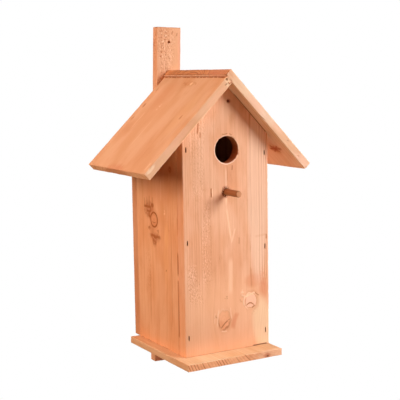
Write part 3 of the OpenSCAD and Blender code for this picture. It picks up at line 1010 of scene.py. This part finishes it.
def batten_wood():
    low = BATTEN_TOP - BATTEN_LEN
    marks = [
        mark(15.5, -60, 15.5, 18, 2, 0.4, (0.85, 0.42, 0.3), soft=2),
        mark(-4, -200, -3, 15, 1.2, 0.3, LATE),
        mark(-17, 18.2, 17, 18.2, 0.7, 0.7, KNOT_DARK, wander=0.2, hold=0.95),
        mark(4, 9, 5, 14, 0.8, 0.7, wander=0.5),
        mark(11, 7, 12, 12, 0.8, 0.6, wander=0.5),
    ]
    blotches = [
        # painted shadow of the base on the batten's front below it
        stain_and_shade(0, low, 40, 26, 0.8, (0.36, 0.115, 0.045), core=0.3, within=0.5),
        stain_and_shade(8, -14, 14, 60, 0.3, (0.88, 0.54, 0.32)),
    ]
    corner = ((-BATTEN_W / 2, 2, BATTEN_TOP), (5, 5, 1.6), 0.8, (0.25, 0.09, 0.04))
    return wood("batten_pine", 6, (20, 60), (0.01, 0.012), 2.2, 0.18, marks=marks, blotches=blotches,
                fleck=0.5, torn=[(-18, 7, -24, 19, 1.25), (-16, 4, -52, -18, 0.7), (-18, 18, -450, -60, 0.4)],
                spots=[corner], tint=(1.0, 0.94, 0.92))


def board(name, node, place, material, corners, thick, seed, **wear):
    """One board with its own piece of wood."""
    return to_object(board_mesh(corners, thick, seed, **wear), name, place, node, material)


def mirrored_slots(heights, other_heights, nudge=0):
    """Staple slots down both sides of a gable board: (x, z, along_x, seed)."""
    return [(x, h, False, h + nudge) for x, column in ((-STAPLE_X, heights), (STAPLE_X, other_heights))
            for h in column]


def build_front():
    front = board("front_board_wood", "front_board", FRONT, front_wood(), GABLE, FRONT_T, 11, edge=0.9)
    cutter = bmesh.new()
    entrance_cutter(cutter)
    socket = ((-1, 5.0), (0, 4.75), (0.7, 4.25), (1.6, 4.1), (FRONT_T + 1, 4.1))
    round_cutter(cutter, PERCH_X, PERCH_Z, socket, 32, 3, 0.35)
    recess = ((-1, 1.8), (0, 1.72), (SINK, 1.65), (SINK + 1, 1.65))
    round_cutter(cutter, NAIL_X, NAIL_Z, recess, 20, 5, 0.15)
    for slot in mirrored_slots(LEFT_HEIGHTS, RIGHT_HEIGHTS):
        slot_cutter(cutter, *slot)
    cut(front, cutter)
    cutter = bmesh.new()
    crack_cutter(cutter, (-21, 188), (-21, 196), 0.3, 1.2, 5)
    crack_cutter(cutter, (8.3, 219), (8.3, 224), 0.25, 1.2, 6)
    cut(front, cutter)
    return front


def build_rear():
    knots = [knot(24, 92, 7, 9, heart=0.4)]
    # the side tint darkens the board's side edges: painted shade
    material = wood("rear_pine", 7, (-20, 70), (0.0, -0.015), 2.2, 0.24, knots=knots,
                    side_tint=(0.90, 0.78, 0.70))
    mirrored = [(-x, z) for x, z in reversed(GABLE)]
    rear = board("rear_board_wood", "rear_board", REAR, material, mirrored, REAR_T, 21, edge=0.9)
    cut_slots(rear, mirrored_slots(REAR_HEIGHTS, REAR_HEIGHTS, 3))
    return rear


def build_side(node, place, sign, seed, material):
    """A side board between the gables, its top sloped to the roof; sign is -1 on the left."""
    gap = 0.1
    near, far = FRONT_T + gap, BODY_D - REAR_T - gap
    low, high = (-far, -near) if sign < 0 else (near, far)
    top = under_roof(sign * HALF_W)
    rise = under_roof(sign * (HALF_W - SIDE_T)) / top - 1
    outline = [(low, 0), (high, 0), (high, top), (low, top)]
    bm = board_mesh(outline, SIDE_T, seed, edge=0.75, rough=0.25, chips=0.4)
    for v in bm.verts:
        v.co.z *= 1 + rise * v.co.y / SIDE_T
    return to_object(bm, node + "_wood", place, node, material)


def right_wood():
    knots = [knot(82, 70, 6, 8, heart=0.4), knot(48, 190, 4, 5, heart=0.7)]
    # the whole board is tinted darker: painted shade against the right-hand lamps
    return wood("right_pine", 8, (60, -80), (0.0, 0.015), 2.1, 0.34, tint=(0.80, 0.72, 0.66), knots=knots)


def build_base():
    outline = [(BASE_LEFT, BASE_FRONT), (BASE_RIGHT, BASE_FRONT), (BASE_RIGHT, BASE_BACK),
               (BASE_LEFT, BASE_BACK)]
    base = board("base_plate_wood", "base_plate", BASE, base_wood(), outline, BASE_T, 51, edge=1.0,
                 rough=0.6, chips=0.2)
    slots = []
    for side in (-1, 1):
        slots += [(side * STAPLE_X, d, False, d) for d in BASE_SIDE_DEPTHS]
        slots.append((side * BASE_FRONT_X, FRONT_T / 2, True, side + 4))
    cut_slots(base, slots, BASE_T)
    return base


def build_left_roof():
    outline = [(-BODY_D, -LEFT_LEN), (-ROOF_FRONT, -LEFT_LEN), (-ROOF_FRONT, 0), (-BODY_D, 0)]
    roof = board("left_roof_wood", "left_roof_panel", ROOF_L, left_roof_wood(), outline, ROOF_T, 61,
                 edge=0.9, rough=0.35, chips=0.3)
    cut_slots(roof, [(-d, -s, False, s) for s, d in LEFT_ROOF_SPOTS])
    cut_chips(roof, LEFT_ROOF_CHIPS)
    return roof


def build_right_roof():
    outline = [(ROOF_FRONT, -RIGHT_LEN), (BODY_D, -RIGHT_LEN), (BODY_D, RIDGE_LAP),
               (ROOF_FRONT, RIDGE_LAP)]
    roof = board("right_roof_wood", "right_roof_panel", ROOF_R, right_roof_wood(), outline, ROOF_T, 71,
                 edge=0.9, rough=0.35, chips=0.3)
    cut_slots(roof, [(d, -s, False, s) for s, d in RIGHT_ROOF_SPOTS]
              + [(d, ROOF_T / 2, True, d) for d in RIDGE_DEPTHS])
    cut_chips(roof, RIGHT_ROOF_CHIPS)
    return roof


def build_batten():
    half = BATTEN_W / 2
    low = BATTEN_TOP - BATTEN_LEN
    outline = [(-half, low), (half, low), (half, BATTEN_TOP), (-half, BATTEN_TOP)]
    batten = board("wall_batten_wood", "wall_batten", BATTEN, batten_wood(), outline, BATTEN_T, 81,
                   edge=0.8, chips=0.3)
    cutter = bmesh.new()
    hole = ((-1, 2.2), (0, HANG_R + 0.15), (0.6, HANG_R), (BATTEN_T + 1, HANG_R))
    round_cutter(cutter, 0, 0, hole, 28, 2, 0.08)
    sink = ((BATTEN_T - SINK - SCREW_HEAD_H, SCREW_R), (BATTEN_T - SINK, SCREW_HEAD_R + 0.1),
            (BATTEN_T + 1, SCREW_HEAD_R + 0.35))
    for drop in SCREW_DROPS:
        round_cutter(cutter, 0, -drop, sink, 28, drop, 0.1)
    cut(batten, cutter)
    return batten


def build_boards():
    """The wooden pieces, each with the finish of its own node."""
    boards = {
        "front_board": build_front(),
        "rear_board": build_rear(),
        "left_side_board": build_side("left_side_board", LEFT, -1, 31, left_wood()),
        "right_side_board": build_side("right_side_board", RIGHT, 1, 41, right_wood()),
        "base_plate": build_base(),
        "left_roof_panel": build_left_roof(),
        "right_roof_panel": build_right_roof(),
        "wall_batten": build_batten(),
    }
    for obj in boards.values():
        smooth(obj)
    boards["perch_dowel"] = perch()


def build_splinters():
    """Torn fibres along the ridge and round the front's holes."""
    material = wood("torn_fibres", 12, (9, 40), (0.0, 0.0), 1.4, 0.3, pale=(0.98, 0.74, 0.52),
                    warm=(0.95, 0.62, 0.40), fleck=0.2)
    slivers = []
    for k in range(11):
        x = -126 + k * 12.6 + 9 * wob(k, 5, 1.37)
        lift = 0.7 + 1.9 * abs(wob(k, 6, 1.71))
        width = 0.5 + 0.8 * abs(wob(k, 8, 2.1))
        slivers.append(((x, 0.5, -1.9), (2.6 * wob(k, 7, 1.93), -lift, 1.5), width, 0.4))
    for x, lift in ((-42, 2.6), (-51, 1.8), (-9, 2.4), (0, 2.9), (-114, 2.0)):
        slivers.append(((x, 0.5, -2.2), (1.2, -lift, 1.7), 1.3, 0.5))
    ridge = splinters("ridge_splinters", ROOF_L, "left_roof_panel", slivers, material)
    slivers = []
    for k in range(13):
        a = math.radians(20 + 27 * k + 8 * wob(k, 3, 1.3))
        reach = 1.6 + 2.2 * abs(wob(k, 4, 1.9)) + (1.6 if 50 < math.degrees(a) % 360 < 140 else 0)
        away = Vector((math.cos(a), 0, math.sin(a)))
        start = Vector((PERCH_X, 0.35, PERCH_Z)) + away * (PERCH_R + 0.5)
        slivers.append((start, away * reach + Vector((0.4, -0.8, 0.5)), 0.42, 0.3))
    for degrees, reach in ((-24, 2.2), (-15, 1.6), (50, 2.0), (62, 2.4), (100, 1.8), (128, 2.0)):
        a = math.radians(degrees)
        away = Vector((math.cos(a), 0, math.sin(a)))
        start = Vector((ENTRANCE_X, 0.4, ENTRANCE_Z)) + away * (ENTRANCE_R + 2.2)
        slivers.append((start, away.cross(Vector((0, 1, 0))) * reach + Vector((0, -0.5, 0)), 0.4, 0.3))
    front = splinters("front_splinters", FRONT, "front_board", slivers, material)


def entrance_cutter(bm):
    """The sawn entrance: a clean bore with a torn, splintery front rim."""
    tears = ((52, 2.0, 6), (66, 1.6, 3), (82, 1.0, 3), (-20, 2.6, 5), (-42, 1.2, 3), (-96, 1.0, 3),
             (128, 0.8, 6))
    rings = []
    for depth in (-1.0, 0.0, 0.5, 1.2, 2.2, 6.0, 10.0, FRONT_T - 0.8, FRONT_T + 1):
        def point(a, k):
            tear = 0.35 + 1.5 * max(0.0, wob(k * 0.9, 12) - 0.12)
            for where, size, reach in tears:
                gap = (math.degrees(a) - where + 180) % 360 - 180
                tear += size * math.exp(-(gap / reach) ** 2)
            near = math.exp(-max(depth, 0.0) / 0.9)
            r = ENTRANCE_R + 0.12 * wob(k * 0.5, 3) + tear * near * 0.8
            if depth > FRONT_T - 1:
                r += 0.5 + 0.5 * wob(k * 0.7, 9)
            return ENTRANCE_X + r * math.cos(a), depth, ENTRANCE_Z + r * math.sin(a)
        rings.append(circle(112, point))
    skin(bm, rings)


def perch():
    """The dowel: not quite round, a chamfered sawn end."""
    bm = bmesh.new()
    rings = []
    stations = [(-FRONT_T, 0.0), (-FRONT_T + 0.6, 0.0), (-6, 0.0)]
    stations += [(d, 0.0) for d in (0, 4, 8, 12, 16, 20, 24, PERCH_OUT - 1.4)]
    stations += [(PERCH_OUT - 0.6, 0.12), (PERCH_OUT - 0.2, 0.42), (PERCH_OUT, 0.85)]
    for d, inset in stations:
        def point(a, k):
            r = PERCH_R - inset - 0.07 - 0.07 * wob(k * 0.9 + d * 0.11, 5) - 0.05 * wob(d * 0.3, 8)
            return r * math.cos(a), r * math.sin(a), d
        rings.append(circle(40, point))
    skin(bm, rings)
    material = wood("perch_wood", 9, (1.5, -14), (0.02, 0.0), 1.6, 0.5, fleck=0.5,
                    tint=(0.52, 0.42, 0.34), end_tint=(1.9, 2.1, 2.6), end_rings=0.5, edge_fresh=0.2)
    return smooth(to_object(bm, "perch_wood", PERCH, "perch_dowel", material))


# ---- fasteners ----

def sweep(bm, path, radius):
    """A wire along a path in the X-Y plane of the fastener's frame, Y down into the wood."""
    rings = []
    last = len(path) - 1
    for i, p in enumerate(path):
        ahead = (Vector(path[min(i + 1, last)]) - Vector(path[max(i - 1, 0)])).normalized()
        across = Vector((-ahead.y, ahead.x, 0))
        r = radius * (0.25 if i in (0, last) else 1.0)

        def point(a, k):
            return Vector((*p, 0)) + across * math.cos(a) * r + Vector((0, 0, 1)) * math.sin(a) * r
        rings.append(circle(10, point))
    skin(bm, rings)


def staple(bm, place):
    """One driven staple: a crown with tight bends and two legs. place maps it into the board."""
    half = (CROWN - WIRE) / 2
    top = SINK + WIRE / 2
    bend = 0.7
    path = [(-half, SINK + LEG), (-half, SINK + LEG - 1.5), (-half, SINK + 12), (-half, top + bend)]
    path += [(-half + bend * (1 - math.cos(a)), top + bend * (1 - math.sin(a)))
             for a in (math.radians(30), math.radians(60), math.radians(90))]
    path += [(0, top + 0.05)]
    path += [(-u, v) for u, v in reversed(path[:-1])]
    start = len(bm.verts)
    sweep(bm, path, WIRE / 2 - 0.02)
    bm.verts.ensure_lookup_table()
    for v in bm.verts[start:]:
        v.co = place @ v.co


def spot(x, z, along_x, flip=0.0):
    """Frame of a staple at (x, z) on a board's outer face; flip is the board's far face."""
    turn = Matrix.Identity(4) if along_x else Matrix.Rotation(math.pi / 2, 4, "Y")
    place = Matrix.Translation((x, 0, z)) @ turn
    if flip:
        place = Matrix.Translation((0, flip, 0)) @ Matrix.Scale(-1, 4, (0, 1, 0)) @ place
    return place


def staples(node, place, spots):
    bm = bmesh.new()
    for one in spots:
        staple(bm, spot(*one))
    obj = smooth(to_object(bm, node + "_wire", place, node, STEELS["staple_steel"]))


def lathe(bm, profile, sides, place):
    """A turned piece down local Y: profile is (depth, radius) pairs."""
    rings = []
    for depth, radius in profile:
        def point(a, k):
            return place @ Vector((radius * math.cos(a), depth, radius * math.sin(a)))
        rings.append(circle(sides, point))
    skin(bm, rings)


STEELS = {
    "staple_steel": steel("staple_metal", (0.075, 0.020, 0.008), 0.7),
    "nail_steel": steel("nail_metal", (0.13, 0.03, 0.018), 0.6),
    "screw_steel": steel("screw_metal", (0.42, 0.38, 0.30), 0.25, 0.85),
}


def build_fasteners():
    for node, place, x, heights in (("front_left_staples", FRONT, -STAPLE_X, LEFT_HEIGHTS),
                                    ("front_right_staples", FRONT, STAPLE_X, RIGHT_HEIGHTS),
                                    ("rear_left_staples", REAR, STAPLE_X, REAR_HEIGHTS),
                                    ("rear_right_staples", REAR, -STAPLE_X, REAR_HEIGHTS)):
        staples(node, place, [(x, h, False) for h in heights])
    staples("left_roof_staples", ROOF_L, [(-d, -s, False) for s, d in LEFT_ROOF_SPOTS])
    staples("right_roof_staples", ROOF_R, [(d, -s, False) for s, d in RIGHT_ROOF_SPOTS])
    staples("ridge_staples", ROOF_R, [(d, ROOF_T / 2, True) for d in RIDGE_DEPTHS])
    staples("base_side_staples", BASE, [(side * STAPLE_X, d, False, BASE_T)
                                        for side in (-1, 1) for d in BASE_SIDE_DEPTHS])
    staples("base_front_staples", BASE, [(side * BASE_FRONT_X, FRONT_T / 2, True, BASE_T)
                                         for side in (-1, 1)])
    bm = bmesh.new()
    profile = ((0.02, 0.9), (0, NAIL_HEAD_R - 0.2), (0.2, NAIL_HEAD_R), (0.8, NAIL_HEAD_R),
               (1, NAIL_R + 0.2), (1.4, NAIL_R), (NAIL_LEN - 2, NAIL_R), (NAIL_LEN, 0.15))
    lathe(bm, profile, 24, Matrix.Translation((NAIL_X, SINK, NAIL_Z)))
    nail = smooth(to_object(bm, "gable_nail_steel", FRONT, "gable_nail", STEELS["nail_steel"]))
    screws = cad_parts["batten_screws"]
    screws.data.materials.clear()
    screws.data.materials.append(STEELS["screw_steel"])


# ---- camera, light and floor ----

def camera():
    """Stands to the left of the front, a little above it, and looks slightly down."""
    place = Vector((-0.6038, -1.13624, -0.03606))
    turn, tilt, roll = math.radians(-29.87), math.radians(7.5), math.radians(-0.927)
    data = bpy.data.cameras.new("Camera")
    data.sensor_width = 36
    data.lens = 88.93
    cam = bpy.data.objects.new("Camera", data)
    scene.collection.objects.link(cam)
    scene.camera = cam
    ahead = Vector((-math.sin(turn) * math.cos(tilt), math.cos(turn) * math.cos(tilt),
                    -math.sin(tilt)))
    right = Vector((math.cos(turn), math.sin(turn), 0))
    up = right.cross(ahead)
    across = math.cos(roll) * right + math.sin(roll) * up
    upward = -math.sin(roll) * right + math.cos(roll) * up
    turned = Matrix((across, upward, -ahead)).transposed().to_4x4()
    cam.matrix_world = Matrix.Translation(place) @ turned


def lamp(name, azimuth, elevation, size, power, colour):
    """A round soft light; azimuth 0 stands in front of the box, 90 to its right."""
    distance = 1.8
    unit = 32.4
    data = bpy.data.lights.new(name, "AREA")
    data.shape = "DISK"
    data.size = size
    data.energy = unit * power
    data.color = colour
    obj = bpy.data.objects.new(name, data)
    scene.collection.objects.link(obj)
    a, e = math.radians(azimuth), math.radians(elevation)
    away = Vector((math.sin(a) * math.cos(e), -math.cos(a) * math.cos(e), math.sin(e)))
    obj.location = Vector((0, -0.1, -0.17)) + away * distance
    obj.rotation_euler = (-away).to_track_quat("-Z", "Y").to_euler()


def mixed(tree, choice, a, b, output):
    """Wires shader a or b into the output by a 0 or 1 choice."""
    mixer = tree.nodes.new("ShaderNodeMixShader")
    for socket, value in zip(mixer.inputs, (choice, a.outputs[0], b.outputs[0])):
        tree.links.new(value, socket)
    tree.links.new(mixer.outputs[0], output.inputs[0])


def studio():
    """Soft lamps all round, a faint warm fill, and a white background that lights nothing."""
    lamp("key", 39, 26, 1.0, 0.98, (0.95, 1.0, 1.0))
    lamp("left", -90, 18, 1.1, 0.72, (1.0, 0.72, 0.54))
    lamp("left_front", -60, 35, 0.8, 0.20, (1.0, 0.40, 0.20))
    lamp("behind_left", -100, 45, 0.9, 0.14, (0.8, 0.95, 1.0))
    lamp("behind", 180, 30, 1.2, 0.45, (1.0, 0.62, 0.45))
    lamp("right_low", 90, -30, 1.4, 1.45, (1.0, 0.76, 0.80))
    lamp("right", 80, 22, 1.0, 0.34, (0.75, 0.95, 1.0))
    lamp("low", 5, -68, 1.5, 0.36, (1.0, 0.9, 0.65))
    world = bpy.data.worlds.new("World")
    scene.world = world
    world.use_nodes = True
    tree = world.node_tree
    back = tree.nodes["Background"]
    back.inputs[0].default_value = (0.05, 0.02, 0.01, 1)
    white = tree.nodes.new("ShaderNodeBackground")
    white.inputs[0].default_value = (1, 1, 1, 1)
    for node in (back, white):
        node.inputs[1].default_value = 1.0
    path = tree.nodes.new("ShaderNodeLightPath")
    mixed(tree, path.outputs["Is Camera Ray"], back, white, tree.nodes["World Output"])


def floor():
    """A plain white sweep below the box, seen only from above."""
    size = 2.5
    parts = 10
    drop = batten_lo.z - 2 * MM
    bm = bmesh.new()
    bmesh.ops.create_grid(bm, x_segments=parts, y_segments=parts, size=size)
    bm.transform(Matrix.Translation((0, 0, drop)))
    mesh = bpy.data.meshes.new("floor")
    bm.to_mesh(mesh)
    bm.free()
    obj = bpy.data.objects.new("floor", mesh)
    scene.collection.objects.link(obj)
    material = bpy.data.materials.new("floor_white")
    material.use_nodes = True
    tree = material.node_tree
    tree.nodes.clear()
    glow = tree.nodes.new("ShaderNodeEmission")
    clear = tree.nodes.new("ShaderNodeBsdfTransparent")
    side = tree.nodes.new("ShaderNodeNewGeometry")
    out = tree.nodes.new("ShaderNodeOutputMaterial")
    mixed(tree, side.outputs["Backfacing"], glow, clear, out)
    mesh.materials.append(material)
    obj.visible_diffuse = False
    obj.visible_glossy = False
    obj.visible_shadow = False


scene.view_settings.view_transform = "Standard"
camera()
studio()
floor()
build_boards()
build_splinters()
build_fasteners()
